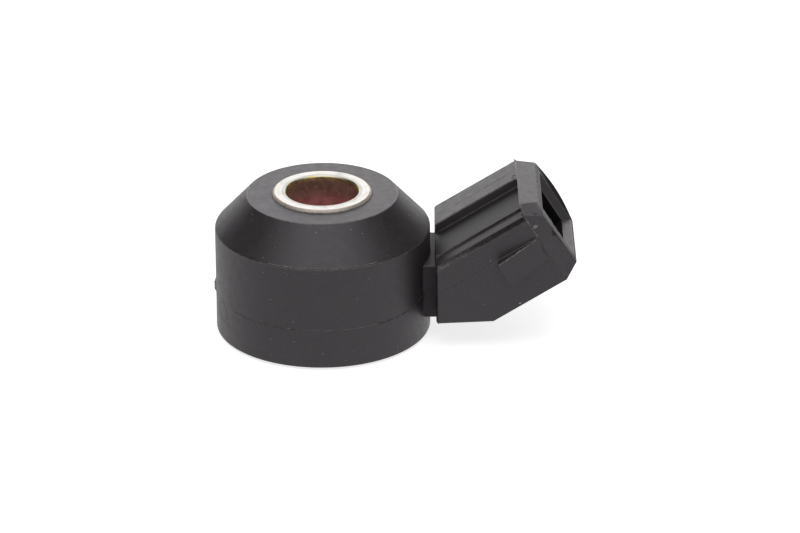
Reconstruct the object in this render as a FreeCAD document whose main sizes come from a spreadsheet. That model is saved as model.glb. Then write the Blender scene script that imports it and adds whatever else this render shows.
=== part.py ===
import FreeCAD, Part
import Sketcher
import os

# An engine knock sensor: a round moulded body clamped by a bolt through a steel bush,
# with a plug socket moulded on its side, tilted upwards.
# Lengths are millimetres, angles degrees. Z runs up the bolt, with 0 at the contact face
# of the bush, and X points towards the socket.

# The bush
bush_length = 17.1  # height of the bush, from contact face to bolt seat
bore_radius = 4.2  # clears an 8 mm bolt
bore_chamfer = 0.16  # break of the bore edge at the bolt seat
stem_radius = 5.8  # outside of the tube
stem_chamfer = 0.25  # outer edge of the bolt seat
flange_radius = 10.2  # flange that stands on the engine
flange_thickness = 3.0  # thickness of that flange
flange_chamfer = 0.3  # lower edge of the flange
anchor_depth = 0.4  # depth of the grooves that grip the plastic
anchor_width = 0.7  # width of each groove at its mouth
anchor_below_seat = 2.4  # from the bolt seat down to the groove of the tube

# The sensing stack, from the flange upwards
sleeve_wall = 0.3  # insulating sleeve round the tube
washer_thickness = 0.3  # insulating washers
contact_thickness = 0.4  # contact washers and their tabs
stack_radius = 9.4  # washers and piezo ring
piezo_thickness = 2.4  # piezo ring
mass_thickness = 3.4  # seismic mass
mass_radius = 9.8  # seismic mass
mass_clearance = 0.2  # running gap round the tube
spring_radius = 9.0  # disc spring
spring_thickness = 0.6  # disc spring
spring_height = 1.2  # disc spring as clamped
nut_flats = 15.0  # clamp nut across its flats
nut_thickness = 2.2  # clamp nut

# The moulded body
underside = 0.3  # plastic stands this far above the contact face
body_radius = 12.5  # outside of the body
seat_proud = 0.35  # bolt seat above the plastic's flat top
cone_rise = 3.87  # from the shoulder up to the flat top
cone_run = 3.74  # from the body's side in to the flat top
shoulder_break = 0.2  # narrow band between side and cone

# The neck between body and socket
neck_half_width = 4.75  # upper part, each side of the middle
neck_step = 0.27  # the part below the mould's parting is narrower by this, each side
neck_bottom = 2.85  # underside of the neck
neck_top = 9.49  # level top of the neck
neck_parting = 6.05  # height of the step at the body
parting_rise = 1.05  # how much higher it is at the socket

# The socket shell, in its own frame: its base line starts at the foot of the body's side
# and rises at the socket's slope. Sizes are along that line, across, and square to both.
shell_tilt = 31.83  # slope of the base line
shell_gap = 0.6  # between the body's side and the shell's upright back
shell_bottom = 3.17  # underside at the back, above the contact face
base_draft = 2.1  # rise of that underside
shell_half_width = 7.02  # each side of the middle
shell_roof = 9.68  # top of the shell above the base line
shell_height = 10.57  # from there down to the sloping bottom
mouth = 19.76  # along the base line
taper_length = 1.9  # from the mouth back to the full section
side_taper = 1.36  # how far each side draws in towards the mouth, at its foot
crown_taper = 0.27  # and at the roof
roof_taper = 1.39  # how far the roof draws in
keel_taper = 0.78  # how far the bottom draws in
key_width = 1.45  # slope of the keyed corner, across
rim_key_width = 2.3  # the same slope at the rim
key_height = 0.85  # slope of the keyed corner, down
land_edge = 1.8  # inner edge of the high land, from the middle
floor_drop = 1.0  # from the high land down to the middle floor
ledge_edge = 4.4  # outer edge of the middle floor, from the middle
ledge_drop = 0.25  # from the middle floor down to the side ledge
ledge_round = 0.6  # outer edge of the side ledge
back_round = 0.3  # upright back edges

# The socket
side_wall = 1.01  # socket walls at the foot of the rim, left and right
roof_wall = 0.95  # socket wall at the rim, top
keel_wall = 1.25  # socket wall at the rim, bottom
socket_floor = 8.9  # along the base line
lead_in = 0.85  # chamfer inside the mouth

# The latch lugs
lug_setback = 7.43  # from the mouth back to the catching face
lug_length = 5.25  # from the catching face to the end of the ramp
lug_drop = 4.24  # from the roof down to the top of the lug
lug_height = 2.95  # from there down
lug_reach = 1.5  # proud of the shell at the catching face
lug_tip = 0.3  # proud of the shell at the far end
lug_corner = 0.5  # lower corner of the catching face

# The conductors
blade_width = 2.8  # terminal blades
blade_thickness = 0.8  # terminal blades
blade_spacing = 5.0  # between the middles of the two blades
blade_recess = 5.0  # blade tips below the mouth
blade_point = 0.25  # bevel of each blade tip
blade_foot = 0.8  # the welded foot reaches this far inside the body's side
tab_width = 1.6  # tabs of the contact washers
tab_level = 5.0  # underside of the tabs where the blades are welded on
tab_clearance = 0.5  # from the stack to where a tab starts to slope
tab_slope = 1.4  # length of that slope, outwards
tab_reach = 0.9  # a tab ends this far outside the body's side
chip_length = 5.0  # resistor, across the blades
chip_width = 2.5  # resistor, along the blades
chip_thickness = 0.6  # resistor
chip_depth = 2.4  # from the socket floor to the middle of the resistor
insert_overlap = 0.5  # how far joined mouldings run into each other

doc = FreeCAD.newDocument("knock_sensor")
sheet = doc.addObject("Spreadsheet::Sheet", "Sizes")

# Every number named so far is a driving dimension, with a row of its own on the sheet.
driving = {name: value for name, value in list(globals().items()) if isinstance(value, (int, float))}
for row, (name, value) in enumerate(driving.items(), start=1):
    sheet.set(f"A{row}", name)
    sheet.set(f"B{row}", str(value))
    sheet.setAlias(f"B{row}", name)
doc.recompute()

# Heights of the stack, each one standing on the one before
Z_WASHER = "Sizes.flange_thickness"
Z_CONTACT = Z_WASHER + " + Sizes.washer_thickness"
Z_PIEZO = Z_CONTACT + " + Sizes.contact_thickness"
Z_UPPER_CONTACT = Z_PIEZO + " + Sizes.piezo_thickness"
Z_UPPER_WASHER = Z_UPPER_CONTACT + " + Sizes.contact_thickness"
Z_MASS = Z_UPPER_WASHER + " + Sizes.washer_thickness"
Z_SPRING = Z_MASS + " + Sizes.mass_thickness"
Z_NUT = Z_SPRING + " + Sizes.spring_height"
Z_NUT_TOP = Z_NUT + " + Sizes.nut_thickness"

SLEEVE_RADIUS = "Sizes.stem_radius + Sizes.sleeve_wall"
CROWN_HEIGHT = "Sizes.bush_length - Sizes.seat_proud"
SHOULDER_HEIGHT = CROWN_HEIGHT + " - Sizes.cone_rise"
SHELL_BACK = "Sizes.body_radius + Sizes.shell_gap"
SHELL_SIN = "sin(Sizes.shell_tilt)"
SHELL_COS = "cos(Sizes.shell_tilt)"
SHELL_KEEL = "Sizes.shell_roof - Sizes.shell_height"
TAPER_START = "Sizes.mouth - Sizes.taper_length"
RIM_HALF_WIDTH = "Sizes.shell_half_width - Sizes.side_taper"
RIM_CROWN = "Sizes.shell_half_width - Sizes.crown_taper"
RIM_ROOF = "Sizes.shell_roof - Sizes.roof_taper"
RIM_KEEL = SHELL_KEEL + " + Sizes.keel_taper"
SOCKET_ROOF = RIM_ROOF + " - Sizes.roof_wall"
SOCKET_KEEL = RIM_KEEL + " + Sizes.keel_wall"
LUG_START = "Sizes.mouth - Sizes.lug_setback"
BLADE_MIDDLE = f"({SOCKET_ROOF} + {SOCKET_KEEL}) / 2"
FULL_TURN = 360
TOLERANCE = 1e-4


def number(expression):
    """The value that an expression on the sheet has now."""
    value = sheet.evalExpression(expression)
    return float(getattr(value, "Value", value))


def origin_plane(body, role):
    return next(item for item in body.Origin.OriginFeatures if item.Role == role)


def new_body(label):
    body = doc.addObject("PartDesign::Body", label)
    body.Label = label
    return body


def tilt(body):
    """Move a body made along X to the socket's frame, at the foot of the body's side."""
    slope = FreeCAD.Rotation(FreeCAD.Vector(0, -1, 0), number("Sizes.shell_tilt"))
    body.Placement = FreeCAD.Placement(FreeCAD.Vector(), slope)
    body.setExpression("Placement.Rotation.Angle", "Sizes.shell_tilt * 1 deg")
    body.setExpression("Placement.Base.x", "Sizes.body_radius")


def sketch_on(body, role, name, offset=None):
    """An empty sketch on one of the body's own planes, moved along the plane's normal."""
    sketch = body.newObject("Sketcher::SketchObject", name)
    sketch.AttachmentSupport = (origin_plane(body, role), "")
    sketch.MapMode = "FlatFace"
    if offset:
        sketch.AttachmentOffset = FreeCAD.Placement(
            FreeCAD.Vector(0, 0, number(offset)), FreeCAD.Rotation())
        sketch.setExpression("AttachmentOffset.Base.z", offset)
    return sketch


def pin(sketch, kind, geometry, point, expression):
    """Hold one coordinate of a sketch point at an expression on the sheet."""
    value = number(expression)
    index = sketch.addConstraint(Sketcher.Constraint(kind, -1, 1, geometry, point, value))
    sketch.setExpression(f"Constraints[{index}]", expression)


def polygon(body, role, name, corners, offset=None):
    """A closed outline whose corners are pairs of expressions on the sheet."""
    sketch = sketch_on(body, role, name, offset)
    points = [FreeCAD.Vector(number(across), number(up), 0) for across, up in corners]
    ends = points[1:] + points[:1]
    for start, end in zip(points, ends):
        sketch.addGeometry(Part.LineSegment(start, end))
    for side in range(len(points)):
        following = (side + 1) % len(points)
        sketch.addConstraint(Sketcher.Constraint("Coincident", side, 2, following, 1))
    for side, (across, up) in enumerate(corners):
        pin(sketch, "DistanceX", side, 1, across)
        pin(sketch, "DistanceY", side, 1, up)
    return sketch


def pad(body, name, sketch, length, both_ways=False, backwards=False):
    feature = body.newObject("PartDesign::Pad", name)
    feature.Profile = sketch
    feature.setExpression("Length", length)
    feature.SideType = "Symmetric" if both_ways else "One side"
    feature.Reversed = backwards
    return feature


def pocket(body, name, sketch, length=None):
    """Cut from the sketch against its normal, by a length or right through."""
    feature = body.newObject("PartDesign::Pocket", name)
    feature.Profile = sketch
    if length:
        feature.setExpression("Length", length)
    else:
        feature.Type = "ThroughAll"
    return feature


def revolve(body, name, sketch, kind="PartDesign::Revolution"):
    feature = body.newObject(kind, name)
    feature.Profile = sketch
    feature.ReferenceAxis = (sketch, ["V_Axis"])
    feature.Angle = FULL_TURN
    return feature


def edges_where(body, test):
    """Names of the edges so far whose two ends both pass a test on their place."""
    doc.recompute()
    found = []
    for index, edge in enumerate(body.Tip.Shape.Edges):
        if len(edge.Vertexes) == 2 and all(test(corner.Point) for corner in edge.Vertexes):
            found.append(f"Edge{index + 1}")
    return found


def fillet(body, name, edges, radius):
    dress(body, "PartDesign::Fillet", name, edges).setExpression("Radius", radius)


def dress(body, kind, name, edges):
    """A fillet or chamfer on some edges of what the body has so far."""
    base = body.Tip
    feature = body.newObject(kind, name)
    feature.Base = (base, edges)
    body.Tip = feature
    return feature


def near(value, target):
    return abs(value - target) < TOLERANCE


def ring(label, inner, outer, bottom, height):
    """A flat washer or ring round the bolt axis."""
    body = new_body(label)
    top = f"{bottom} + {height}"
    corners = [(inner, bottom), (outer, bottom), (outer, top), (inner, top)]
    section = polygon(body, "XZ_Plane", label + "_section", corners)
    revolve(body, label + "_turn", section)
    return body


def world(along, square):
    """A point of the socket's frame as upright coordinates, both as expressions."""
    across = f"Sizes.body_radius + ({along}) * {SHELL_COS} - ({square}) * {SHELL_SIN}"
    up = f"({along}) * {SHELL_SIN} + ({square}) * {SHELL_COS}"
    return across, up


def level_on_slope(height, square):
    """Where a level line meets a line parallel to the socket's axis."""
    across = f"Sizes.body_radius + (({height}) * {SHELL_COS} - ({square})) / {SHELL_SIN}"
    return across, height


def make_bush():
    """A turned steel bush: a tube on a flange, with grooves that grip the plastic."""
    body = new_body("bush")
    seat = "Sizes.bush_length"
    corners = [
        ("Sizes.bore_radius", "0"),
        ("Sizes.flange_radius - Sizes.flange_chamfer", "0"),
        ("Sizes.flange_radius", "Sizes.flange_chamfer"),
        ("Sizes.flange_radius", "Sizes.flange_thickness"),
        ("Sizes.stem_radius", "Sizes.flange_thickness"),
        ("Sizes.stem_radius", f"{seat} - Sizes.stem_chamfer"),
        ("Sizes.stem_radius - Sizes.stem_chamfer", seat),
        ("Sizes.bore_radius + Sizes.bore_chamfer", seat),
        ("Sizes.bore_radius", f"{seat} - Sizes.bore_chamfer"),
    ]
    revolve(body, "bush_turn", polygon(body, "XZ_Plane", "bush_section", corners))
    middle = "(Sizes.flange_thickness + Sizes.underside) / 2"
    groove(body, "flange_groove", "Sizes.flange_radius", middle)
    groove(body, "stem_groove", "Sizes.stem_radius", f"{seat} - Sizes.anchor_below_seat")
    return body


def groove(body, name, radius, height):
    """A V groove round the bush, its mouth a little outside the surface it is cut in."""
    mouth = f"{radius} + Sizes.anchor_depth"
    corners = [
        (f"{radius} - Sizes.anchor_depth", height),
        (mouth, f"{height} - Sizes.anchor_width"),
        (mouth, f"{height} + Sizes.anchor_width"),
    ]
    section = polygon(body, "XZ_Plane", name + "_section", corners)
    revolve(body, name, section, "PartDesign::Groove")


def make_contact(label, bottom, side):
    """A contact washer with the tab that carries its charge out to a blade."""
    body = ring(label, SLEEVE_RADIUS, "Sizes.stack_radius", bottom, "Sizes.contact_thickness")
    root = "Sizes.stack_radius - Sizes.tab_width"
    slope_start = "Sizes.stack_radius + Sizes.tab_clearance"
    level = "Sizes.tab_level"
    lower = [
        (root, bottom),
        (slope_start, bottom),
        (f"{slope_start} + Sizes.tab_slope", level),
        ("Sizes.body_radius + Sizes.tab_reach", level),
    ]
    upper = [(across, f"{up} + Sizes.contact_thickness") for across, up in reversed(lower)]
    offset = f"{side} * Sizes.blade_spacing / 2"
    outline = polygon(body, "XZ_Plane", label + "_tab_outline", lower + upper, offset)
    pad(body, label + "_tab", outline, "Sizes.tab_width", both_ways=True)
    return body


def make_blade(label, side):
    """A terminal blade: a foot welded on a tab, bent up along the socket's axis."""
    body = new_body(label)
    foot = "Sizes.tab_level + Sizes.contact_thickness"
    foot_top = f"{foot} + Sizes.blade_thickness"
    half = "Sizes.blade_thickness / 2"
    tip = "Sizes.mouth - Sizes.blade_recess"
    corners = [
        ("Sizes.body_radius - Sizes.blade_foot", foot),
        level_on_slope(foot, f"{BLADE_MIDDLE} - {half}"),
        world(f"{tip} - Sizes.blade_point", f"{BLADE_MIDDLE} - {half}"),
        world(tip, f"{BLADE_MIDDLE} - {half} + Sizes.blade_point"),
        world(tip, f"{BLADE_MIDDLE} + {half} - Sizes.blade_point"),
        world(f"{tip} - Sizes.blade_point", f"{BLADE_MIDDLE} + {half}"),
        level_on_slope(foot_top, f"{BLADE_MIDDLE} + {half}"),
        ("Sizes.body_radius - Sizes.blade_foot", foot_top),
    ]
    offset = f"{side} * Sizes.blade_spacing / 2"
    outline = polygon(body, "XZ_Plane", label + "_outline", corners, offset)
    pad(body, label + "_strip", outline, "Sizes.blade_width", both_ways=True)
    return body


def make_spring():
    """A disc spring: a dished ring that stands on its outer edge."""
    body = new_body("disc_spring")
    inner = "Sizes.stem_radius + Sizes.mass_clearance"
    rise = "Sizes.spring_height - Sizes.spring_thickness"
    corners = [
        (inner, f"{Z_SPRING} + {rise}"),
        ("Sizes.spring_radius", Z_SPRING),
        ("Sizes.spring_radius", f"{Z_SPRING} + Sizes.spring_thickness"),
        (inner, Z_NUT),
    ]
    revolve(body, "disc_spring_turn", polygon(body, "XZ_Plane", "disc_spring_section", corners))
    return body


def make_nut():
    """The hexagonal nut that clamps the stack on the tube."""
    body = new_body("clamp_nut")
    half = "Sizes.nut_flats / 2"
    side = "Sizes.nut_flats / 2 * tan(30)"
    corner = "Sizes.nut_flats / 2 / cos(30)"
    corners = [
        (side, f"-({half})"),
        (corner, "0"),
        (side, half),
        (f"-({side})", half),
        (f"-({corner})", "0"),
        (f"-({side})", f"-({half})"),
    ]
    pad(body, "clamp_nut_hexagon", polygon(body, "XY_Plane", "nut_outline", corners, Z_NUT),
        "Sizes.nut_thickness")
    hole = sketch_on(body, "XY_Plane", "nut_hole_outline", Z_NUT_TOP)
    circle(hole, "0", "0", "Sizes.stem_radius")
    pocket(body, "clamp_nut_hole", hole)
    return body


def circle(sketch, across, up, radius):
    """A circle held by its middle and radius."""
    middle = FreeCAD.Vector(number(across), number(up), 0)
    index = sketch.addGeometry(Part.Circle(middle, FreeCAD.Vector(0, 0, 1), number(radius)))
    pin(sketch, "DistanceX", index, 3, across)
    pin(sketch, "DistanceY", index, 3, up)
    held = sketch.addConstraint(Sketcher.Constraint("Radius", index, number(radius)))
    sketch.setExpression(f"Constraints[{held}]", radius)


def make_resistor():
    """A chip resistor soldered across the undersides of the two blades."""
    body = new_body("discharge_resistor")
    tilt(body)
    top = f"{BLADE_MIDDLE} - Sizes.blade_thickness / 2"
    start = "Sizes.socket_floor - Sizes.chip_depth - Sizes.chip_width / 2"
    end = "Sizes.socket_floor - Sizes.chip_depth + Sizes.chip_width / 2"
    corners = [
        (start, f"{top} - Sizes.chip_thickness"),
        (end, f"{top} - Sizes.chip_thickness"),
        (end, top),
        (start, top),
    ]
    outline = polygon(body, "XZ_Plane", "chip_outline", corners)
    pad(body, "chip", outline, "Sizes.chip_length", both_ways=True)
    return body


def make_case():
    """The round body with its neck, still without the hollow for the stack."""
    body = new_body("case")
    in_the_tube = "(Sizes.bore_radius + Sizes.stem_radius) / 2"
    corners = [
        (in_the_tube, "Sizes.underside"),
        ("Sizes.body_radius", "Sizes.underside"),
        ("Sizes.body_radius", f"{SHOULDER_HEIGHT} - Sizes.shoulder_break"),
        ("Sizes.body_radius - Sizes.shoulder_break", SHOULDER_HEIGHT),
        ("Sizes.body_radius - Sizes.cone_run", CROWN_HEIGHT),
        (in_the_tube, CROWN_HEIGHT),
    ]
    revolve(body, "case_turn", polygon(body, "XZ_Plane", "case_section", corners))
    start = (
        "Sizes.body_radius * cos(asin(Sizes.neck_half_width / Sizes.body_radius))"
        " - Sizes.insert_overlap"
    )
    end = f"{SHELL_BACK} + Sizes.insert_overlap"
    narrow = [
        (start, "Sizes.neck_bottom"),
        (end, "Sizes.neck_bottom"),
        (end, "Sizes.neck_top"),
        (start, "Sizes.neck_top"),
    ]
    outline = polygon(body, "XZ_Plane", "neck_outline", narrow)
    pad(body, "neck", outline, "2 * (Sizes.neck_half_width - Sizes.neck_step)", both_ways=True)
    wide = [
        (start, "Sizes.neck_parting"),
        (end, "Sizes.neck_parting + Sizes.parting_rise"),
        (end, "Sizes.neck_top"),
        (start, "Sizes.neck_top"),
    ]
    outline = polygon(body, "XZ_Plane", "upper_neck_outline", wide)
    pad(body, "upper_neck", outline, "2 * Sizes.neck_half_width", both_ways=True)
    return body


def section(foot, keel, crown, roof, key_width):
    """The shell's section, half its width at the foot and at the crown, with its keyed corner."""
    return [
        (foot, keel),
        (crown, roof),
        (f"-({crown}) + {key_width}", roof),
        (f"-({crown})", f"{roof} - Sizes.key_height"),
        (f"-({foot})", keel),
    ]


def make_shell():
    """The moulded socket shell in its own frame, turned to its slope."""
    body = new_body("shell")
    tilt(body)
    shell_side(body)
    shell_stairs(body)
    front_taper(body)
    socket_hollow(body)
    latch_lugs(body)
    soften_shell(body)
    return body


def shell_side(body):
    """The side outline: an upright back, a nearly level foot and the sloping box."""
    roof = "Sizes.shell_roof"
    gap = "Sizes.shell_gap"
    foot = "Sizes.shell_bottom"
    rise = "tan(Sizes.base_draft)"
    back_top = f"({gap} + {roof} * {SHELL_SIN}) / {SHELL_COS}"
    back_foot = (
        f"{gap} * {SHELL_COS} + {foot} * {SHELL_SIN}",
        f"-{gap} * {SHELL_SIN} + {foot} * {SHELL_COS}",
    )
    foot_end = (
        f"({foot} - {rise} * ({gap} + ({SHELL_KEEL}) * {SHELL_SIN}) - ({SHELL_KEEL}) * {SHELL_COS})"
        f" / ({SHELL_SIN} - {rise} * {SHELL_COS})"
    )
    corners = [
        (back_top, roof),
        back_foot,
        (foot_end, SHELL_KEEL),
        (TAPER_START, SHELL_KEEL),
        (TAPER_START, roof),
    ]
    outline = polygon(body, "XZ_Plane", "shell_outline", corners)
    pad(body, "shell_box", outline, "2 * Sizes.shell_half_width", both_ways=True)


def shell_stairs(body):
    """The roof steps down twice, from the high land to the floor and the side ledge."""
    above = "Sizes.shell_roof + Sizes.insert_overlap"
    outside = "-Sizes.shell_half_width - Sizes.insert_overlap"
    floor = "Sizes.shell_roof - Sizes.floor_drop"
    ledge = f"{floor} - Sizes.ledge_drop"
    corners = [
        ("Sizes.land_edge", above),
        ("Sizes.land_edge", floor),
        ("-Sizes.ledge_edge", floor),
        ("-Sizes.ledge_edge", ledge),
        (outside, ledge),
        (outside, above),
    ]
    pocket(body, "stairs", polygon(body, "YZ_Plane", "stairs_outline", corners, TAPER_START))


def front_taper(body):
    """The last stretch narrows all round to the rim of the mouth."""
    half = "Sizes.shell_half_width"
    full = section(half, SHELL_KEEL, half, "Sizes.shell_roof", "Sizes.key_width")
    rim = section(RIM_HALF_WIDTH, RIM_KEEL, RIM_CROWN, RIM_ROOF, "Sizes.rim_key_width")
    start = polygon(body, "YZ_Plane", "taper_start_outline", full, TAPER_START)
    end = polygon(body, "YZ_Plane", "rim_outline", rim, "Sizes.mouth")
    taper = body.newObject("PartDesign::AdditiveLoft", "front_taper")
    taper.Profile = start
    taper.Sections = [end]
    taper.Ruled = True


def socket_hollow(body):
    """The plug's hollow, with a chamfer inside the far and the lower wall."""
    inside = f"{RIM_HALF_WIDTH} - Sizes.side_wall"
    corners = [
        (f"-({inside})", SOCKET_KEEL),
        (inside, SOCKET_KEEL),
        (inside, SOCKET_ROOF),
        (f"-({inside})", SOCKET_ROOF),
    ]
    outline = polygon(body, "YZ_Plane", "socket_outline", corners, "Sizes.mouth")
    pocket(body, "socket", outline, "Sizes.mouth - Sizes.socket_floor")
    mouth = number("Sizes.mouth")
    wall = number(inside)
    keel = number(SOCKET_KEEL)
    far_rim = edges_where(body, lambda at: near(at.x, mouth) and near(at.y, wall))
    lower_rim = edges_where(body, lambda at: near(at.x, mouth) and near(at.z, keel)
                            and near(abs(at.y), wall))
    chamfer = dress(body, "PartDesign::Chamfer", "lead_in_chamfer", far_rim + lower_rim)
    chamfer.setExpression("Size", "Sizes.lead_in")


def latch_lugs(body):
    """A ramp on each side with a catching face that looks back at the body."""
    half = "Sizes.shell_half_width"
    inner = f"{half} - Sizes.insert_overlap"
    end = f"{LUG_START} + Sizes.lug_length"
    corners = [
        (LUG_START, inner),
        (LUG_START, f"{half} + Sizes.lug_reach"),
        (end, f"{half} + Sizes.lug_tip"),
        (end, inner),
    ]
    for side, name in ((-1, "left"), (1, "right")):
        sided = [(along, f"{side} * ({across})") for along, across in corners]
        outline = polygon(body, "XY_Plane", name + "_lug_outline", sided,
                          "Sizes.shell_roof - Sizes.lug_drop")
        pad(body, name + "_lug", outline, "Sizes.lug_height", backwards=True)


def soften_shell(body):
    """Rounded edges: the side ledge, the upright back edges and the lugs' lower corners."""
    half = number("Sizes.shell_half_width")
    ledge = number("Sizes.shell_roof - Sizes.floor_drop - Sizes.ledge_drop")
    on_ledge = edges_where(body, lambda at: near(at.y, -half) and near(at.z, ledge))
    fillet(body, "ledge_edge_fillet", on_ledge, "Sizes.ledge_round")
    foot = number("Sizes.shell_roof - Sizes.lug_drop - Sizes.lug_height")
    start = number(LUG_START)
    on_lugs = edges_where(body, lambda at: near(at.z, foot) and near(at.x, start))
    fillet(body, "lug_corner_fillet", on_lugs, "Sizes.lug_corner")
    rise = number(SHELL_SIN)
    run = number(SHELL_COS)
    back = number("Sizes.shell_gap")
    on_back = edges_where(body, lambda at: near(at.x * run - at.z * rise, back)
                          and near(abs(at.y), half))
    fillet(body, "back_edge_fillet", on_back, "Sizes.back_round")


def stack_room():
    """The room that the clamped stack takes up inside the plastic."""
    room = doc.addObject("Part::Cylinder", "stack_room")
    room.setExpression("Radius", "Sizes.spring_radius")
    room.setExpression("Height", f"{Z_NUT} - {Z_WASHER}")
    room.setExpression("Placement.Base.z", Z_WASHER)
    return room


def make_housing(inserts):
    """One moulding: body, neck and shell, poured round everything that it holds."""
    outside = doc.addObject("Part::MultiFuse", "housing_outside")
    outside.Shapes = [make_case(), make_shell()]
    outside.Refine = True
    held = doc.addObject("Part::MultiFuse", "held_inserts")
    held.Shapes = inserts + [stack_room()]
    housing = doc.addObject("Part::Cut", "housing")
    housing.Base = outside
    housing.Tool = held
    housing.Refine = True
    housing.Label = "housing"
    return housing


bush = make_bush()
sleeve = ring("insulating_sleeve", "Sizes.stem_radius", SLEEVE_RADIUS, Z_CONTACT,
              "2 * Sizes.contact_thickness + Sizes.piezo_thickness")
lower_washer = ring("lower_insulating_washer", "Sizes.stem_radius", "Sizes.stack_radius",
                    Z_WASHER, "Sizes.washer_thickness")
lower_contact = make_contact("lower_contact_washer", Z_CONTACT, 1)
piezo = ring("piezo_ring", SLEEVE_RADIUS, "Sizes.stack_radius", Z_PIEZO, "Sizes.piezo_thickness")
upper_contact = make_contact("upper_contact_washer", Z_UPPER_CONTACT, -1)
upper_washer = ring("upper_insulating_washer", "Sizes.stem_radius", "Sizes.stack_radius",
                    Z_UPPER_WASHER, "Sizes.washer_thickness")
mass = ring("seismic_mass", "Sizes.stem_radius + Sizes.mass_clearance", "Sizes.mass_radius",
            Z_MASS, "Sizes.mass_thickness")
spring = make_spring()
nut = make_nut()
left_blade = make_blade("terminal_blade_left", 1)
right_blade = make_blade("terminal_blade_right", -1)
resistor = make_resistor()
moulded_in = [bush, lower_washer, lower_contact, piezo, upper_contact, upper_washer, mass, nut,
              left_blade, right_blade, resistor]
housing = make_housing(moulded_in)
nodes = moulded_in + [sleeve, spring, housing]

doc.recompute()
for item in doc.Objects:
    if "Invalid" in item.State or "Error" in item.State:
        raise RuntimeError(f"{item.Label} failed: {item.State}")
os.makedirs("parts", exist_ok=True)
for node in nodes:
    if node.Shape.isNull() or not node.Shape.isValid():
        raise RuntimeError(f"{node.Label} has no valid shape")
    node.Shape.exportStep(f"parts/{node.Label}.step")
    box = node.Shape.BoundBox
    print(f"{node.Label}: solids {len(node.Shape.Solids)}, volume {node.Shape.Volume:.1f},"
          f" from {box.XMin:.2f} {box.YMin:.2f} {box.ZMin:.2f} to {box.XMax:.2f} {box.YMax:.2f} {box.ZMax:.2f}")
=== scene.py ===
"""Looks for an engine knock sensor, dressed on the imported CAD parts.

Metres, in the row frame: Z is the bolt axis with 0 at the contact face of the bush, and X
points towards the plug socket. MM turns the millimetres of the named sizes into metres.
Details on the socket are placed in its own frame: along its sloping base line from the
side of the body, across it from the middle, and up from that line.
"""

from math import asin, cos, exp, pi, radians, sin
from random import Random

import bmesh
import bpy
from mathutils import Matrix, Vector


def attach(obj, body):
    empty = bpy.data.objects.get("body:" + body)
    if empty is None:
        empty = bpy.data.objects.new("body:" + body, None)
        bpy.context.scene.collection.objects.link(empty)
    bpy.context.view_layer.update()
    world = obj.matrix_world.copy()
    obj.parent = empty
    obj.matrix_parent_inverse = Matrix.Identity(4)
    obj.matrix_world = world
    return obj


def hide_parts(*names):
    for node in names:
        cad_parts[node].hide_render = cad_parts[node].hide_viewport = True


MM = 0.001

# The camera, from the photograph: nearly square to the socket's side, looking down at it
VIEW_TURN = radians(-0.5)
VIEW_ELEVATION = radians(24.92)
VIEW_ROLL = radians(-0.27)
VIEW_DISTANCE = 568.5 * MM
VIEW_TARGET = Vector((8.976 * MM, 0, 7.281 * MM))
LENS = 219.36  # millimetres, on the 36 mm sensor

# Sizes of the part that the details follow, in millimetres
BODY = 12.5  # radius of the body
SHOULDER = 12.88  # height of the edge between its side and its cone
NECK = 4.75  # half width of the neck
NECK_TOP = 9.49  # level top of the neck
TILT = radians(31.83)  # slope of the socket
SIDE = 7.02  # half width of the socket
ROOF = 9.68  # top of the socket, above its base line
STAIR = 8.68  # floor between the high lands of the roof
LEDGE = 8.43  # top of the side ledge
TAPER = 17.86  # where the front taper starts, along the base line
MOUTH = 19.76  # plane of the rim
RIM_TOP = 8.29  # top of the rim
FAR_RIM = ((MOUTH, 5.66, -0.11), (MOUTH, 6.75, RIM_TOP))  # ends of its far edge
RIM_BOW = 0.4  # how far that edge bows outwards
LUG_TOP = 5.44  # upper face of the latch lugs
LUG_START = 12.33  # their catching face
LUG_END = 17.58
SEAT = 12.0  # above this height, the bush is the ring that the bolt bears on
BORE = 4.22  # a little more than the radius of the bore

# A box round the plug's hollow: its deep end, half width, bottom and top
HOLLOW_END, HOLLOW_HALF, HOLLOW_LOW, HOLLOW_HIGH = 8.8, 4.68, 1.1, 7.36

# The seam where the halves of the mould met, which climbs towards the neck
SEAM = 5.05  # its height on most of the body
SEAM_CLIMB = 0.76  # how much higher it is at the neck
SEAM_FALL = 2.5  # the run over which it loses most of that
SEAM_START = asin(NECK / BODY)
SEAM_STEPS = 60

# The materials of the moulding, by index
WORN_AND_HIGHLIGHT, HOLLOW, RECESS = 1, 2, 3

# Stretches of the seam that stand: first and last step, width, height and share that stands
SEAM_FLASH = ((0, 15, 0.15, 0.07, 0.95), (30, 39, 0.14, 0.06, 0.9),
              (39, 47, 0.11, 0.05, 0.9), (47, 60, 0.06, 0.015, 0.6))
# Flash on both sides of the socket: its ends, width, height and share that stands
SIDE_FLASH = (
    ((4.15, SIDE, LUG_TOP), (8.6, SIDE, LUG_TOP), 0.07, 0.035, 0.85),
    ((8.6, SIDE, LUG_TOP), (LUG_START, SIDE, LUG_TOP), 0.1, 0.04, 0.95),
    ((TAPER, SIDE, LUG_TOP), (TAPER, SIDE, -0.8), 0.06, 0.03, 0.8),
    ((TAPER, SIDE, LUG_TOP), (MOUTH, 6.3, 5.0), 0.05, 0.015, 0.4),
)
# and on its roof, the same way
ROOF_FLASH = (
    ((6.8, 4.2, ROOF), (TAPER, 4.2, ROOF), 0.05, 0.02, 0.85),
    ((6.8, 1.98, ROOF), (17.1, 1.98, ROOF), 0.06, 0.025, 1.0),
)
NECK_FLASH = ((11.6, 6.1), (12.33, 6.52), (13.1, 7.11))  # points of it, as x and z
GATE_NUB = (4.75, 5.1, 5.45)  # heights of its lumps, opposite the socket

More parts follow.
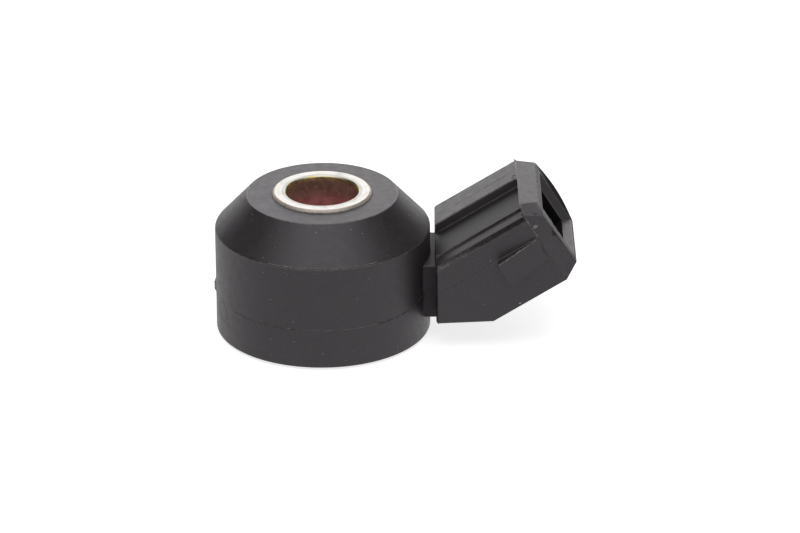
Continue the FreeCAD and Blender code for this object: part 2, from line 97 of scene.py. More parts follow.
# Torn flash: its ends, the way it stands, width, height, unevenness, share and step
TORN_FLASH = (
    ((LUG_START + 0.1, -8.5, LUG_TOP), (LUG_END, -7.3, LUG_TOP), (0, -0.5, 1),
     0.16, 0.12, 0.9, 0.85, 0.09),
    ((LUG_START + 0.04, -8.5, LUG_TOP - 0.05), (LUG_START + 0.04, -8.45, 2.9), (-0.4, -1, 0),
     0.05, 0.02, 0.6, 0.6, 0.11),
    ((TAPER, -SIDE, 8.5), (TAPER, -SIDE, LUG_TOP), (0.3, -1, 0), 0.2, 0.07, 0.9, 0.75, 0.08),
    ((MOUTH - 0.02, 6.2, RIM_TOP), (MOUTH - 0.02, -4.4, RIM_TOP), (0.7, 0, 0.7),
     0.12, 0.08, 0.8, 0.9, 0.11),
    ((MOUTH - 0.02, -6.55, 7.3), (MOUTH - 0.02, -6.2, 4.4), (0.6, -0.8, 0),
     0.1, 0.06, 0.8, 0.7, 0.11),
    ((MOUTH, -5.1, 5.5), (MOUTH, -5.0, 3.9), (1, 0, 0), 0.13, 0.05, 0.3, 1.0, 0.11),
)
# Flakes left on the roof by the taper: along, across, size and stretch
ROOF_FLAKES = ((17.35, 2.45, 0.16, 1.6), (17.6, 2.1, 0.2, 1.2),
               (17.75, 1.75, 0.17, 1.5), (17.3, 1.95, 0.12, 2.0))
STEP_FLAKES = ((17.85, 1.5), (17.85, 1.25))  # and under them, as along and across
# A bent thread beside them, from end to end
ROOF_THREADS = (((17.35, 3.15, ROOF), (17.8, 2.75, ROOF)),
                ((17.2, 2.65, ROOF), (17.35, 3.15, ROOF)))

# Larger grains of dust: angle from +X in degrees, height and size
BODY_DUST = (
    (-93.9, 12.2, 0.045), (-110.4, 12.05, 0.04), (-104.5, 11.85, 0.035), (-96.8, 8.6, 0.035),
    (-42.0, 10.9, 0.03), (-45.0, 9.5, 0.03), (-59.0, 2.2, 0.04), (-75.0, 6.4, 0.03),
)
# and along, across, up, size and stretch on the socket
SOCKET_DUST = (
    (7.2, -0.9, STAIR, 0.05, 1.0), (7.1, -1.5, STAIR, 0.05, 1.0),
    (8.6, -SIDE, 8.2, 0.045, 1.0), (11.8, -SIDE, -0.55, 0.09, 2.4),
    (12.6, -SIDE, 7.2, 0.035, 1.0), (9.0, 3.2, ROOF, 0.03, 1.0), (13.0, 5.2, ROOF, 0.03, 1.0),
)

# Room and lamps, in metres and watts
FLOOR_HALF = 1.5
AMBIENT = 0.32  # what the white surroundings give to the object
# Black cards: side of the part, back end and front end
FLAGS = {"flag_left": (-1, 0.62, -0.24), "flag_right": (1, 0.7, -0.3)}
FLAG_AWAY, FLAG_MIDDLE, FLAG_HALF = 0.5, 0.33, 0.27  # distance, height, half height
# Lamps: place, what they face, size and power
LAMPS = {
    "overhead_softbox": ((0, -0.12, 0.62), (0.005, 0, 0.01), (0.62, 0.6), 1.3),
    "back_softbox": ((0.02, 0.75, 0.31), (0.005, 0, 0.01), (1.0, 0.5), 1.7),
    "low_softbox": ((0.42, -0.37, 0.06), (0.025, -0.005, 0.01), (0.3, 0.16), 0.14),
}

WHITE = (1.0, 1.0, 1.0, 1.0)
WARM_GREY = (1.0, 0.94, 1.0, 1.0)  # the faint violet of the plastic's gloss


def srgb(red, green, blue):
    """A colour as a picture shows it, 0 to 255, as the linear colour that a shader takes."""
    def linear(value):
        value /= 255
        return value / 12.92 if value <= 0.04045 else ((value + 0.055) / 1.055) ** 2.4
    return (linear(red), linear(green), linear(blue), 1.0)


# ---------------------------------------------------------------- node helpers


class Graph:
    """Short ways to add the nodes of a new material, or of the world."""

    def __init__(self, name, world=None):
        self.owner = world or bpy.data.materials.new(name)
        self.owner.use_nodes = True
        self.nodes = self.owner.node_tree.nodes
        self.links = self.owner.node_tree.links
        self.nodes.clear()
        self.output = self.nodes.new(f"ShaderNodeOutput{'World' if world else 'Material'}")

    def put(self, socket, value):
        if isinstance(value, bpy.types.NodeSocket):
            self.links.new(value, socket)
        else:
            socket.default_value = value

    def node(self, kind, values=None, **settings):
        node = self.nodes.new(kind)
        for key, setting in settings.items():
            setattr(node, key, setting)
        for key, value in (values or {}).items():
            self.put(node.inputs[key], value)
        return node

    def place(self):
        return self.node("ShaderNodeTexCoord").outputs["Object"]

    def math(self, operation, first, second=0.0):
        return self.node("ShaderNodeMath", {0: first, 1: second}, operation=operation).outputs[0]

    def times(self, first, second):
        return self.math("MULTIPLY", first, second)

    def noise(self, scale, detail=3.0, roughness=0.55, at=None):
        values = {"Vector": at or self.place(), "Scale": scale, "Detail": detail,
                  "Roughness": roughness}
        return self.node("ShaderNodeTexNoise", values).outputs["Fac"]

    def mix(self, fac, first, second):
        node = self.node("ShaderNodeMix", data_type="RGBA")
        for slot, value in ((0, fac), (6, first), (7, second)):
            self.put(node.inputs[slot], value)
        return node.outputs[2]

    def span(self, value, low, high, to_low=0.0, to_high=1.0):
        """Maps low to to_low and high to to_high, and stops there."""
        values = {"Value": value, "From Min": low, "From Max": high,
                  "To Min": to_low, "To Max": to_high}
        return self.node("ShaderNodeMapRange", values).outputs[0]

    def bump(self, height, distance, strength):
        values = {"Height": height, "Distance": distance, "Strength": strength}
        return self.node("ShaderNodeBump", values).outputs["Normal"]

    def surface(self, shader):
        """Ends the graph with a shader and gives back its material or world."""
        self.links.new(shader, self.output.inputs["Surface"])
        return self.owner

    def finish(self, **inputs):
        values = {key.replace("_", " "): value for key, value in inputs.items()}
        return self.surface(self.node("ShaderNodeBsdfPrincipled", values).outputs[0])


# ---------------------------------------------------------------- materials


def moulded_plastic():
    """Dark grey glass-filled nylon: a fine mould grain and pale flecks."""
    g = Graph("moulded_plastic")
    grain = g.noise(5200, 4, 0.65)
    cloud = g.noise(420, 3)
    cells = g.node("ShaderNodeTexVoronoi", {"Vector": g.place(), "Scale": 1500.0}).outputs
    dot = g.math("LESS_THAN", cells["Distance"], 0.13)
    red = g.node("ShaderNodeSeparateColor", {"Color": cells["Color"]}).outputs[0]
    fleck = g.times(dot, g.math("GREATER_THAN", red, 0.93))
    shade = g.mix(cloud, srgb(37, 34, 36), srgb(46, 42, 45))
    shade = g.mix(g.span(grain, 0.45, 0.75), shade, srgb(55, 51, 53))
    shade = g.mix(g.times(fleck, 0.55), shade, srgb(150, 145, 145))
    rough = g.span(g.noise(1300, 4), 0.3, 0.7, 0.40, 0.50)
    return g.finish(Base_Color=shade, Roughness=rough, IOR=1.57, Specular_Tint=WARM_GREY,
                    Normal=g.bump(grain, 0.012 * MM, 0.7))


def worn_and_highlight_plastic():
    """Plastic rubbed paler on its edges, and paler as painted highlight on the near ledge's edge.
    """
    g = Graph("worn_and_highlight_plastic")
    wear_and_highlight = g.span(g.noise(1900, 5, 0.7), 0.42, 0.68)
    shade = g.mix(wear_and_highlight, srgb(58, 54, 55), srgb(98, 93, 92))
    rough = g.span(wear_and_highlight, 0.0, 1.0, 0.42, 0.36)
    return g.finish(Base_Color=shade, Roughness=rough, IOR=1.57, Specular_Tint=WARM_GREY,
                    Normal=g.bump(g.noise(4200, 3), 0.02 * MM, 0.5))


def shaded_recess_plastic():
    """Painted shade: the same plastic darker, with less gloss, on the roof's stairs and the neck.
    """
    g = Graph("shaded_recess_plastic")
    grain = g.noise(3600, 4, 0.65)
    shade = g.mix(g.span(grain, 0.4, 0.7), srgb(32, 30, 32), srgb(46, 43, 45))
    return g.finish(Base_Color=shade, Roughness=0.5, IOR=1.36, Specular_Tint=WARM_GREY,
                    Normal=g.bump(grain, 0.012 * MM, 0.7))


def shaded_hollow_plastic():
    """Painted shade: the dull, unpolished inside of the plug's hollow, made darker."""
    g = Graph("shaded_hollow_plastic")
    grain = g.noise(2400, 4, 0.6)
    shade = g.mix(g.span(grain, 0.35, 0.65), srgb(17, 16, 17), srgb(25, 24, 25))
    return g.finish(Base_Color=shade, Roughness=0.75, IOR=1.18,
                    Normal=g.bump(grain, 0.015 * MM, 0.4))


def flash_with_painted_shade():
    """Flash along the seams: dark patches as painted shade of the step it makes, and pale
    patches.
    """
    g = Graph("flash_with_painted_shade")
    patch = g.span(g.noise(1400, 4, 0.7), 0.42, 0.66)
    return g.finish(Base_Color=g.mix(patch, srgb(24, 22, 23), srgb(134, 126, 120)),
                    Roughness=g.span(patch, 0, 1, 0.55, 0.42), IOR=1.5)


def pale_flash_and_sheen():
    """Pale flash, rubbed or torn, almost all of it pale; also painted sheen and highlight on the
    body.
    """
    g = Graph("pale_flash_and_sheen")
    patch = g.span(g.noise(2100, 4, 0.7), 0.36, 0.6)
    shade = g.mix(patch, srgb(58, 55, 56), srgb(146, 141, 140))
    return g.finish(Base_Color=shade, Roughness=0.5)


def shadow_plastic():
    """The dark of small pits and of the gaps beside the flash."""
    g = Graph("shadow_plastic")
    shade = g.mix(g.noise(3000, 3), srgb(10, 9, 10), srgb(22, 20, 21))
    return g.finish(Base_Color=shade, Roughness=0.8, IOR=1.2)


def bush_steel():
    """Plated steel: turned rings on its faces, a tan edge partly painted highlight, a bore with
    stains, scores and painted glints.
    """
    g = Graph("bush_steel")
    x, y, z = g.node("ShaderNodeSeparateXYZ", {"Vector": g.place()}).outputs
    radius = g.math("SQRT", g.math("ADD", g.times(x, x), g.times(y, y)))

    # both faces: turned rings
    rings = g.node("ShaderNodeCombineXYZ", {"X": radius}).outputs[0]
    turned = g.noise(9000, 3, 0.6, at=rings)
    patches = g.noise(700, 4, 0.7)
    shade = g.mix(g.span(turned, 0.3, 0.7), srgb(164, 162, 159), srgb(194, 193, 190))

    # the seat's outer edge: a tan stain, paler and less metal as a painted highlight, with grit
    # at its foot
    seat = g.math("GREATER_THAN", z, SEAT * MM)
    near_edge = g.times(seat, g.span(radius, 5.2 * MM, 5.5 * MM))
    stain_and_highlight = g.span(patches, 0.3, 0.62, 0.45, 1.0)
    shade = g.mix(g.times(near_edge, stain_and_highlight), shade, srgb(206, 194, 182))
    foot = g.times(seat, g.span(z, 16.95 * MM, 16.7 * MM, 0.2, 1.0))
    outside = g.span(radius, 5.4 * MM, 5.5 * MM)
    grit = g.times(g.times(outside, g.span(g.noise(1500, 5, 0.8), 0.5, 0.6)), foot)
    shade = g.mix(g.times(grit, 0.75), shade, srgb(82, 76, 68))

    # round the bore: a dull band, then patches of worn gold passivation
    band = g.times(g.span(radius, 4.75 * MM, 4.6 * MM), g.span(radius, 4.35 * MM, 4.45 * MM))
    shade = g.mix(g.times(band, 0.6), shade, srgb(138, 136, 132))
    near_bore = g.span(radius, 4.55 * MM, 4.3 * MM)
    shade = g.mix(g.times(near_bore, g.span(patches, 0.45, 0.62)), shade, srgb(196, 180, 120))

    # the bore: gold at its top, brown below and red further down, with glints painted bright on
    # scores
    in_bore = g.math("LESS_THAN", radius, BORE * MM)
    stain = g.noise(380, 5, 0.7)
    brown = g.mix(g.span(stain, 0.35, 0.65), srgb(140, 112, 98), srgb(190, 158, 142))
    red = g.mix(g.span(g.noise(900, 4), 0.4, 0.6), srgb(224, 158, 158), srgb(196, 134, 132))
    rust = g.mix(g.span(z, 15.4 * MM, 14.0 * MM), brown, red)
    above = g.math("SUBTRACT", g.math("ADD", z, g.times(stain, 0.5 * MM)), 16.85 * MM)
    gold = g.mix(g.span(patches, 0.35, 0.65), srgb(150, 138, 84), srgb(224, 208, 150))
    bore = g.mix(g.span(above, -0.25 * MM, 0.2 * MM), rust, gold)
    scored = g.times(g.span(z, 13.6 * MM, 14.2 * MM), g.span(z, 16.5 * MM, 15.9 * MM))
    glint = g.times(g.span(g.noise(1900, 4, 0.8), 0.6, 0.68), scored)
    bore = g.mix(g.times(glint, 0.85), bore, srgb(236, 230, 222))
    shade = g.mix(in_bore, shade, bore)

    # the seat's outer edge is not metal, so its tan reads pale: part of its painted highlight
    face_metal = g.span(g.times(seat, radius), 5.4 * MM, 5.6 * MM, 1.0, 0.12)
    bore_metal = g.span(above, -0.25 * MM, 0.2 * MM, 0.3, 1.0)
    face_rough = g.span(patches, 0.35, 0.7, 0.26, 0.42)
    bore_rough = g.span(stain, 0.3, 0.7, 0.35, 0.55)
    blotch = g.span(patches, 0.55, 0.72)
    rough = g.mix(blotch, g.mix(in_bore, face_rough, bore_rough), (0.5, 0.5, 0.5, 1))
    height = g.math("ADD", turned, g.times(patches, 0.6))
    return g.finish(Base_Color=shade, Metallic=g.mix(in_bore, face_metal, bore_metal),
                    Roughness=rough, Normal=g.bump(height, 0.01 * MM, 0.5))


def tin_plate(name, low, high):
    """Sheet metal with a faint rolled grain along X."""
    g = Graph(name)
    stretched = g.node("ShaderNodeVectorMath", {0: g.place(), 1: (0.15, 1.0, 1.0)},
                       operation="MULTIPLY").outputs[0]
    rolled = g.noise(2600, 4, 0.6, at=stretched)
    return g.finish(Base_Color=g.mix(g.span(rolled, 0.3, 0.7), low, high), Metallic=1.0,
                    Roughness=g.span(g.noise(600, 3), 0.3, 0.7, 0.26, 0.4),
                    Normal=g.bump(rolled, 0.006 * MM, 0.4))


def plain_grain(name, low, high, rough, metallic=0.0):
    """A fine mottle between two near shades, for what is sealed inside."""
    g = Graph(name)
    grain = g.noise(1500, 4, 0.6)
    return g.finish(Base_Color=g.mix(g.span(grain, 0.35, 0.65), low, high), Metallic=metallic,
                    Roughness=g.span(grain, 0.3, 0.7, rough, rough + 0.12),
                    Normal=g.bump(grain, 0.01 * MM, 0.4))


def dust():
    """Pale grains of dust."""
    g = Graph("dust")
    shade = g.mix(g.span(g.noise(5000, 2), 0.4, 0.6), srgb(150, 148, 146), srgb(225, 224, 222))
    return g.finish(Base_Color=shade, Roughness=0.8)


def floor_white():
    """White in reflections and, where it is lit, for the eye; matt for the light it gives."""
    g = Graph("floor_white")
    path = g.node("ShaderNodeLightPath").outputs
    mirrored = g.math("MAXIMUM", path["Is Glossy Ray"], path["Is Transmission Ray"])
    matt = g.node("ShaderNodeBsdfDiffuse", {"Color": srgb(240, 240, 240)}).outputs[0]
    glow = g.node("ShaderNodeEmission", {"Color": WHITE, "Strength": 1.0}).outputs[0]
    haze = g.node("ShaderNodeEmission", {"Color": WHITE, "Strength": 0.75}).outputs[0]
    both = g.node("ShaderNodeAddShader", {0: matt, 1: haze}).outputs[0]
    seen = {0: path["Is Camera Ray"], 1: matt, 2: both}
    to_eye = g.node("ShaderNodeMixShader", seen).outputs[0]
    return g.surface(g.node("ShaderNodeMixShader", {0: mirrored, 1: to_eye, 2: glow}).outputs[0])


# ---------------------------------------------------------------- room


def plane(name, centre, across, up, material):
    """A flat sheet about a centre, from its two half-length vectors."""
    mesh = bpy.data.meshes.new(name)
    corners = [centre - across - up, centre + across - up,
               centre + across + up, centre - across + up]
    mesh.from_pydata([tuple(c) for c in corners], [], [(0, 1, 2, 3)])
    mesh.materials.append(material)
    piece = bpy.data.objects.new(name, mesh)
    bpy.context.scene.collection.objects.link(piece)
    return piece


def light_flag(name, side, back, front):
    """A black card beside the set, out of the camera's sight, that darkens one flank."""
    g = Graph(name)
    black = g.node("ShaderNodeBsdfDiffuse", {"Color": (0.01, 0.01, 0.01, 1)}).outputs[0]
    card = plane(name, Vector((side * FLAG_AWAY, (back + front) / 2, FLAG_MIDDLE)),
                 Vector((0, (back - front) / 2, 0)), Vector((0, 0, FLAG_HALF)),
                 g.surface(black))
    card.visible_camera = False


def area_light(name, place, target, size, power):
    """A rectangular lamp that faces a target."""
    light = bpy.data.lights.new(name, "AREA")
    light.shape = "RECTANGLE"
    light.size, light.size_y = size
    light.energy = power
    lamp = bpy.data.objects.new(name, light)
    lamp.location = place
    facing = Vector(target) - Vector(place)
    lamp.rotation_euler = facing.to_track_quat("-Z", "Y").to_euler()
    bpy.context.scene.collection.objects.link(lamp)


def make_world():
    """White for the eye and in reflections; a plain soft level for the light it gives."""
    world = bpy.data.worlds.new("white_studio")
    bpy.context.scene.world = world
    g = Graph("white_studio", world)
    path = g.node("ShaderNodeLightPath").outputs
    seen = g.math("MAXIMUM", path["Is Camera Ray"], path["Is Glossy Ray"])
    seen = g.math("MAXIMUM", seen, path["Is Transmission Ray"])
    ambient = g.node("ShaderNodeBackground", {"Color": WHITE, "Strength": AMBIENT}).outputs[0]
    white = g.node("ShaderNodeBackground", {"Color": WHITE, "Strength": 1.0}).outputs[0]
    g.surface(g.node("ShaderNodeMixShader", {0: seen, 1: ambient, 2: white}).outputs[0])


def make_camera():
    """The camera that took the photograph."""
    data = bpy.data.cameras.new("camera")
    data.lens = LENS
    data.sensor_width = 36
    data.clip_start = 0.01
    camera = bpy.data.objects.new("camera", data)
    back = Vector((0, -cos(VIEW_ELEVATION), sin(VIEW_ELEVATION)))
    away = Matrix.Rotation(VIEW_TURN, 3, "Z") @ back
    camera.location = VIEW_TARGET + away * VIEW_DISTANCE
    look = (-away).to_track_quat("-Z", "Y").to_matrix().to_4x4()
    roll = Matrix.Rotation(VIEW_ROLL, 4, "Z")
    camera.matrix_world = Matrix.Translation(camera.location) @ look @ roll
    bpy.context.scene.collection.objects.link(camera)
    bpy.context.scene.camera = camera


# ---------------------------------------------------------------- pieces


def cleaned_mesh(node):
    """The mesh of a CAD piece, with its flat faces whole again, ready for bmesh work."""
    work = bmesh.new()
    work.from_mesh(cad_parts[node].data)
    bmesh.ops.remove_doubles(work, verts=work.verts, dist=1e-7)
    bmesh.ops.dissolve_limit(work, angle_limit=radians(0.4), verts=work.verts,
                             edges=work.edges)
    bmesh.ops.dissolve_degenerate(work, dist=2e-6, edges=work.edges)
    return work


def round_edges(work, width):
    """Rounds the edges between faces that meet at 30 degrees or more, and marks them worn."""
    sharp = [e for e in work.edges if len(e.link_faces) == 2
             and radians(30) < e.calc_face_angle() < radians(179)
             and e.calc_length() > 0.3 * MM]
    bmesh.ops.bevel(work, geom=sharp, offset=width * MM, offset_type="OFFSET", segments=2,
                    profile=0.5, affect="EDGES", clamp_overlap=False, material=WORN_AND_HIGHLIGHT,
                    miter_outer="ARC", loop_slide=True, harden_normals=False)


def replace_node(work, node, name, materials):
    """Turns finished bmesh work into a piece that stands for a CAD node."""
    mesh = bpy.data.meshes.new(name)
    for face in work.faces:
        face.smooth = True
    work.to_mesh(mesh)
    work.free()
    for material in materials:
        mesh.materials.append(material)
    mesh.set_sharp_from_angle(angle=radians(34))
    piece = bpy.data.objects.new(name, mesh)
    bpy.context.scene.collection.objects.link(piece)
    flat = piece.modifiers.new("flat_faces_first", "WEIGHTED_NORMAL")
    flat.keep_sharp = True
    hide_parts(node)
    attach(piece, "root")


def add_piece(name, work, material):
    """Finished bmesh work as a new piece of the moulding, riding on the part."""
    mesh = bpy.data.meshes.new(name)
    bmesh.ops.recalc_face_normals(work, faces=work.faces)
    work.to_mesh(mesh)
    work.free()
    mesh.materials.append(material)
    piece = bpy.data.objects.new(name, mesh)
    bpy.context.scene.collection.objects.link(piece)
    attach(piece, "root")


def socket_place(along, across, up):
    """A point in the socket's own frame, in millimetres, as a point of the row frame."""
    return Vector((BODY + along * cos(TILT) - up * sin(TILT), across,
                   along * sin(TILT) + up * cos(TILT))) * MM


def socket_way(along, across, up):
    """A direction in the socket's own frame as one in the row frame."""
    return Vector((along * cos(TILT) - up * sin(TILT), across,
                   along * sin(TILT) + up * cos(TILT))).normalized()


def body_place(angle, z, radius=BODY):
    """A point on a ring round the bolt axis; the angle is from +X, in radians."""
    return Vector((radius * cos(angle), radius * sin(angle), z)) * MM


def outwards(angle):
    """The way out of the body's side."""
    return Vector((cos(angle), sin(angle), 0))


def seam_height(angle):
    """Height of the mould's seam on the body, at an angle from +X in radians."""
    run = (abs(angle) - SEAM_START) * BODY
    return SEAM + SEAM_CLIMB * exp(-run / SEAM_FALL)


def ridge(work, places, ways, width, height, uneven=0.6, share=1.0, step=0.11):
    """Adds a fine ragged ridge along a line, in millimetres; share is how much of it stands."""
    fine, upwards = [], []
    for first, second, way, next_way in zip(places, places[1:], ways, ways[1:]):
        count = max(1, round((second - first).length / (step * MM)))
        for i in range(count):
            fine.append(first.lerp(second, i / count))
            upwards.append(way.lerp(next_way, i / count).normalized())
    fine.append(places[-1])
    upwards.append(ways[-1])
    level = 0.5  # wanders between 0 and 1 along the line
    rows = []
    for i, (place, way) in enumerate(zip(fine, upwards)):
        run = (fine[min(i + 1, len(fine) - 1)] - fine[max(i - 1, 0)]).normalized()
        side = run.cross(way).normalized()
        level += (rng.random() - level) * 0.55
        # a gap in the ridge lies under the surface
        stands = 1 - uneven + uneven * level * 1.6 if rng.random() < share else -0.3
        ends = min(i, len(fine) - 1 - i, 2) / 2
        half = width * (0.35 + 0.65 * level) * 0.5 * MM
        top = place + way * height * stands * ends * MM + side * (rng.random() - 0.5) * half
        foot = place - way * 0.02 * MM
        rows.append([work.verts.new(v) for v in (foot - side * half, top, foot + side * half)])
    for one, two in zip(rows, rows[1:]):
        for k in range(3):
            work.faces.new((one[k], one[k - 1], two[k - 1], two[k]))


def straight(work, first, second, way, width, height, **more):
    """A ridge between two points of the socket's own frame, standing one way all along."""
    ridge(work, [socket_place(*first), socket_place(*second)], [way, way], width, height, **more)


def chip(work, place, way, size, thick, turn=0.0, stretch=1.0):
    """A small lump or flake of an uneven outline, its size and thickness in millimetres."""
    facing = way.to_track_quat("Z", "Y").to_matrix().to_4x4()
    shape = Matrix.Translation(place) @ facing @ Matrix.Rotation(turn, 4, "Z")
    corners = 7
    outline = []
    for k in range(corners):
        angle = 2 * pi * k / corners
        reach = size * (0.7 + 0.5 * rng.random()) * MM
        corner = Vector((stretch * reach * cos(angle), reach * sin(angle), -0.01 * MM))
        outline.append(work.verts.new(shape @ corner))
    top = work.verts.new(shape @ Vector((0, 0, thick * MM)))
    for one, two in zip(outline, outline[1:] + outline[:1]):
        work.faces.new((one, two, top))
    work.faces.new(outline[::-1])


def swell_far_rim(work):
    """Bows the far edge of the rim outwards, as it is on the real moulding."""
    ends = [socket_place(*end) for end in FAR_RIM]
    for edge in list(work.edges):
        if all(min((v.co - end).length for end in ends) < 0.05 * MM for v in edge.verts):
            made = bmesh.ops.subdivide_edges(work, edges=[edge], cuts=11)
            for vert in {g for g in made["geom_inner"] if isinstance(g, bmesh.types.BMVert)}:
                part = (vert.co - ends[0]).length / (ends[1] - ends[0]).length
                vert.co += socket_way(1, 0, 0) * RIM_BOW * sin(pi * part) * MM


def shade_and_highlight_faces(work):
    """Gives the plug's hollow, the roof's stairs and the neck darker materials as painted shade,
    and the rounded edge of the near ledge a paler one as a painted highlight."""
    roof = socket_way(0, 0, 1)
    for face in work.faces:
        place = face.calc_center_median() / MM - Vector((BODY, 0, 0))
        along = place.x * cos(TILT) + place.z * sin(TILT)
        up = place.z * cos(TILT) - place.x * sin(TILT)
        faces_roof = face.normal.dot(roof)
        # the plug's hollow: darker, as painted shade
        if (HOLLOW_END < along < MOUTH - 0.2 and abs(place.y) < HOLLOW_HALF
                and HOLLOW_LOW < up < HOLLOW_HIGH):
            face.material_index = HOLLOW
        # the roof's stairs: darker, as painted shade
        elif along < TAPER and faces_roof > 0.99 and LEDGE - 0.13 < up < STAIR + 0.12:
            face.material_index = RECESS
        # the rounded edge of the near ledge: paler, as a painted highlight
        elif (along < TAPER and place.y < 0.72 - SIDE and LEDGE - 0.73 < up < LEDGE + 0.07
              and 0.08 < faces_roof < 0.97):
            face.material_index = WORN_AND_HIGHLIGHT
        # the neck: darker, as painted shade
        elif (abs(place.x) < 1.2 and abs(place.y) < NECK + 0.1 and place.z < NECK_TOP + 0.11
              and max(abs(face.normal.y), face.normal.z) > 0.9):
            face.material_index = RECESS


def mould_flash():
    """The fine ridges where the halves of the mould met, and the nub of the gate."""
    work = bmesh.new()
    for side in (-1, 1):
        angles = [side * (SEAM_START + (pi - SEAM_START) * i / SEAM_STEPS)
                  for i in range(SEAM_STEPS + 1)]
        seam = [body_place(a, seam_height(a)) for a in angles]
        out = [outwards(a) for a in angles]
        for first, last, width, height, share in SEAM_FLASH:
            ridge(work, seam[first:last + 1], out[first:last + 1], width, height, share=share)
        way = Vector((0, side, 0))
        neck = [Vector((x, side * NECK, z)) * MM for x, z in NECK_FLASH]
        ridge(work, neck, [way] * len(neck), 0.07, 0.03, share=0.8)
        for (a, b, c), (d, e, f), width, height, share in SIDE_FLASH:
            straight(work, (a, side * b, c), (d, side * e, f), way, width, height, share=share)
    for first, last, width, height, share in ROOF_FLASH:
        straight(work, first, last, socket_way(0, 0, 1), width, height, share=share)
    for z in GATE_NUB:
        chip(work, body_place(pi, z), Vector((-1, 0, 0)), 0.62, 0.22)
    add_piece("mould_flash", work, flash_with_painted_shade())


def torn_flash():
    """The thicker and paler flash on the lug, the taper and the rim, with its torn ends."""
    work = bmesh.new()
    roof = socket_way(0, 0, 1)
    for first, last, way, width, height, uneven, share, step in TORN_FLASH:
        straight(work, first, last, socket_way(*way), width, height, uneven=uneven,
                 share=share, step=step)
    for along, across, size, stretch in ROOF_FLAKES:
        place = socket_place(along, across, ROOF - 0.03)
        chip(work, place, roof, size, 0.12, 6 * rng.random(), stretch)
    for along, across in STEP_FLAKES:
        chip(work, socket_place(along, across, ROOF - 0.45), socket_way(-1, 0, 1), 0.15, 0.15)
    for first, last in ROOF_THREADS:
        straight(work, first, last, roof, 0.08, 0.05)
    # the raised lip of a small round mark on the ledge
    lip = [socket_place(17.6 + 0.2 * cos(a), -5.9 + 0.3 * sin(a), LEDGE)
           for a in (i * pi / 6 for i in range(13))]
    ridge(work, lip, [roof] * len(lip), 0.08, 0.05)
    # a spike at the far corner of the roof, and a flake on the near side of the taper
    chip(work, socket_place(TAPER, SIDE - 0.06, ROOF - 0.05), socket_way(-0.4, 0.3, 1), 0.1, 0.34)
    chip(work, socket_place(18.25, -6.98, 6.75), socket_way(0.2, -1, 0), 0.22, 0.04, 0.5, 1.5)
    # a thread that curls off the lug
    curl = [socket_place(14.1 + 0.34 * cos(a), -8.22 - 0.1 * sin(a), 5.5 + 0.3 * sin(a))
            for a in (i * pi / 10 for i in range(11))]
    ridge(work, curl, [socket_way(0, -1, 0.3)] * len(curl), 0.04, 0.04, uneven=0.1)
    add_piece("torn_flash", work, pale_flash_and_sheen())


def pale_seam_and_painted_sheen():
    """Pale on the body: its seam in front, and painted sheen on its left flank and its shoulder
    edge.
    """
    work = bmesh.new()
    seam = [radians(-61 - turn) for turn in range(0, 44, 2)]
    ridge(work, [body_place(a, SEAM + 0.01) for a in seam], [outwards(a) for a in seam],
          0.1, 0.045, uneven=0.9, share=0.72)
    # pale flecks on the left flank: painted sheen
    for _ in range(26):
        angle = radians(-163 - 9 * rng.random())
        place = body_place(angle, 8.4 + 2.9 * rng.random())
        chip(work, place, outwards(angle), 0.03 + 0.03 * rng.random(), 0.01,
             0.3 * rng.random(), 0.4)
    # a pale line along the front of the shoulder edge: painted highlight
    edge = [radians(-90 + turn) for turn in range(-30, 32, 2)]
    out = [Vector((0.9 * cos(a), 0.9 * sin(a), 0.43)).normalized() for a in edge]
    ridge(work, [body_place(a, SHOULDER - 0.02, BODY - 0.03) for a in edge], out, 0.09, 0.012,
          uneven=0.3, share=0.75)
    add_piece("pale_seam_and_painted_sheen", work, pale_flash_and_sheen())


def mould_marks():
    """The round mark of an ejector, the shadow under the seam and the small pits, all dark."""
    work = bmesh.new()
    centre, height, reach = radians(-158.5), 3.88, 1.15
    ring = [(centre + reach * cos(a) / BODY, height + reach * sin(a))
            for a in (i * pi / 20 for i in range(41))]
    ridge(work, [body_place(a, z) for a, z in ring], [outwards(a) for a, _ in ring],
          0.06, 0.01, uneven=0.3)
    for side in (-1, 1):
        for first, last in ((24, 62), (103, 140)):
            turns = [side * radians(-t) for t in range(first, last, 2)]
            ridge(work, [body_place(a, seam_height(a) - 0.07) for a in turns],
                  [outwards(a) for a in turns], 0.09, 0.008, uneven=0.4, share=0.9)
    roof = socket_way(0, 0, 1)
    chip(work, socket_place(17.5, 2.85, ROOF), roof, 0.2, 0.02, 0.4, 1.3)
    chip(work, socket_place(17.6, -5.9, LEDGE), roof, 0.17, 0.02)
    add_piece("mould_marks", work, shadow_plastic())


def fine_grain(work, place, way):
    """A grain of dust too small to be placed one by one."""
    chip(work, place, way, 0.012 + 0.018 * rng.random(), 0.02)


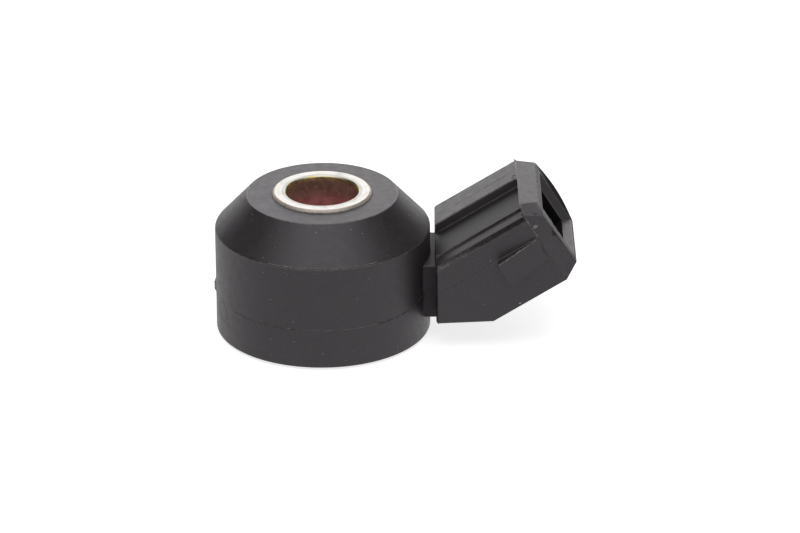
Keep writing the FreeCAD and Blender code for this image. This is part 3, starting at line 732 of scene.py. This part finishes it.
def dust_specks():
    """Bright grains of dust: the larger ones where they lie, and a fine scatter."""
    work = bmesh.new()
    for degrees, z, size in BODY_DUST:
        angle = radians(degrees)
        chip(work, body_place(angle, z), outwards(angle), size, size)
    for along, across, up, size, stretch in SOCKET_DUST:
        way = socket_way(0, -1, 0) if across == -SIDE else socket_way(0, 0, 1)
        chip(work, socket_place(along, across, up), way, size, size, 0.3, stretch)
    for _ in range(150):  # on the body's side
        angle = rng.random() * 2 * pi
        fine_grain(work, body_place(angle, 0.8 + 11.5 * rng.random()), outwards(angle))
    for _ in range(60):  # on its cone
        angle, part = rng.random() * 2 * pi, rng.random()
        out = Vector((0.69 * cos(angle), 0.69 * sin(angle), 0.72))
        place = body_place(angle, SHOULDER + 0.07 + 3.7 * part, BODY - 0.05 - 3.6 * part)
        fine_grain(work, place, out)
    for _ in range(70):  # on the socket's sides
        side = rng.choice((-1, 1))
        place = socket_place(5 + 12.5 * rng.random(), side * SIDE, 8 * rng.random())
        fine_grain(work, place, Vector((0, side, 0)))
    add_piece("dust_specks", work, dust())


def dress_moulding():
    """The housing: edges rounded and worn, rim bowed, painted shade and highlight on some faces.
    """
    work = cleaned_mesh("housing")
    swell_far_rim(work)
    round_edges(work, 0.1)
    shade_and_highlight_faces(work)
    replace_node(work, "housing", "housing_moulding",
                 [moulded_plastic(), worn_and_highlight_plastic(), shaded_hollow_plastic(), shaded_recess_plastic()])


def dress_bush():
    """The bush with its edges rounded."""
    work = cleaned_mesh("bush")
    round_edges(work, 0.05)
    replace_node(work, "bush", "plated_bush", [bush_steel()])


def dress_inner_pieces():
    """Finishes for what is sealed inside, which keeps its CAD shape."""
    amber = plain_grain("amber_film", srgb(196, 150, 74), srgb(214, 172, 96), 0.35)
    brass = tin_plate("tinned_brass", srgb(206, 190, 150), srgb(222, 210, 178))
    silver = plain_grain("silvered_ceramic", srgb(186, 184, 178), srgb(206, 204, 198), 0.4, 0.6)
    steel = plain_grain("turned_steel", srgb(150, 150, 154), srgb(176, 176, 180), 0.32, 1.0)
    blued = plain_grain("blued_steel", srgb(66, 72, 92), srgb(86, 92, 110), 0.3, 1.0)
    tin = tin_plate("tin_plate", srgb(196, 194, 188), srgb(224, 222, 216))
    lacquer = plain_grain("lacquered_chip", srgb(70, 96, 130), srgb(92, 116, 146), 0.3)
    finishes = {
        "insulating_sleeve": amber,
        "lower_insulating_washer": amber,
        "upper_insulating_washer": amber,
        "lower_contact_washer": brass,
        "upper_contact_washer": brass,
        "piezo_ring": silver,
        "seismic_mass": steel,
        "clamp_nut": steel,
        "disc_spring": blued,
        "terminal_blade_left": tin,
        "terminal_blade_right": tin,
        "discharge_resistor": lacquer,
    }
    for node, finish in finishes.items():
        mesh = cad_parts[node].data
        mesh.materials.clear()
        mesh.materials.append(finish)


rng = Random(7)
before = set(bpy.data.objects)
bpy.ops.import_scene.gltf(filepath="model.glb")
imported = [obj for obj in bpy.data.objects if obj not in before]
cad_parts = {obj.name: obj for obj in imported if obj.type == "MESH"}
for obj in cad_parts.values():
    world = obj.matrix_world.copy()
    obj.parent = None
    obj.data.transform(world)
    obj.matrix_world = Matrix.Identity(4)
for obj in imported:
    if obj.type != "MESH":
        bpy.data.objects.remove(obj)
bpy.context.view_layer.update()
bpy.context.scene.view_settings.view_transform = "Standard"

make_world()
make_camera()
plane("floor", Vector((0, 0, 0)), Vector((FLOOR_HALF, 0, 0)), Vector((0, FLOOR_HALF, 0)),
      floor_white())
for name, (side, back, front) in FLAGS.items():
    light_flag(name, side, back, front)
for name, (place, target, size, power) in LAMPS.items():
    area_light(name, place, target, size, power)

dress_moulding()
mould_flash()
torn_flash()
pale_seam_and_painted_sheen()
mould_marks()
dust_specks()
dress_bush()
dress_inner_pieces()
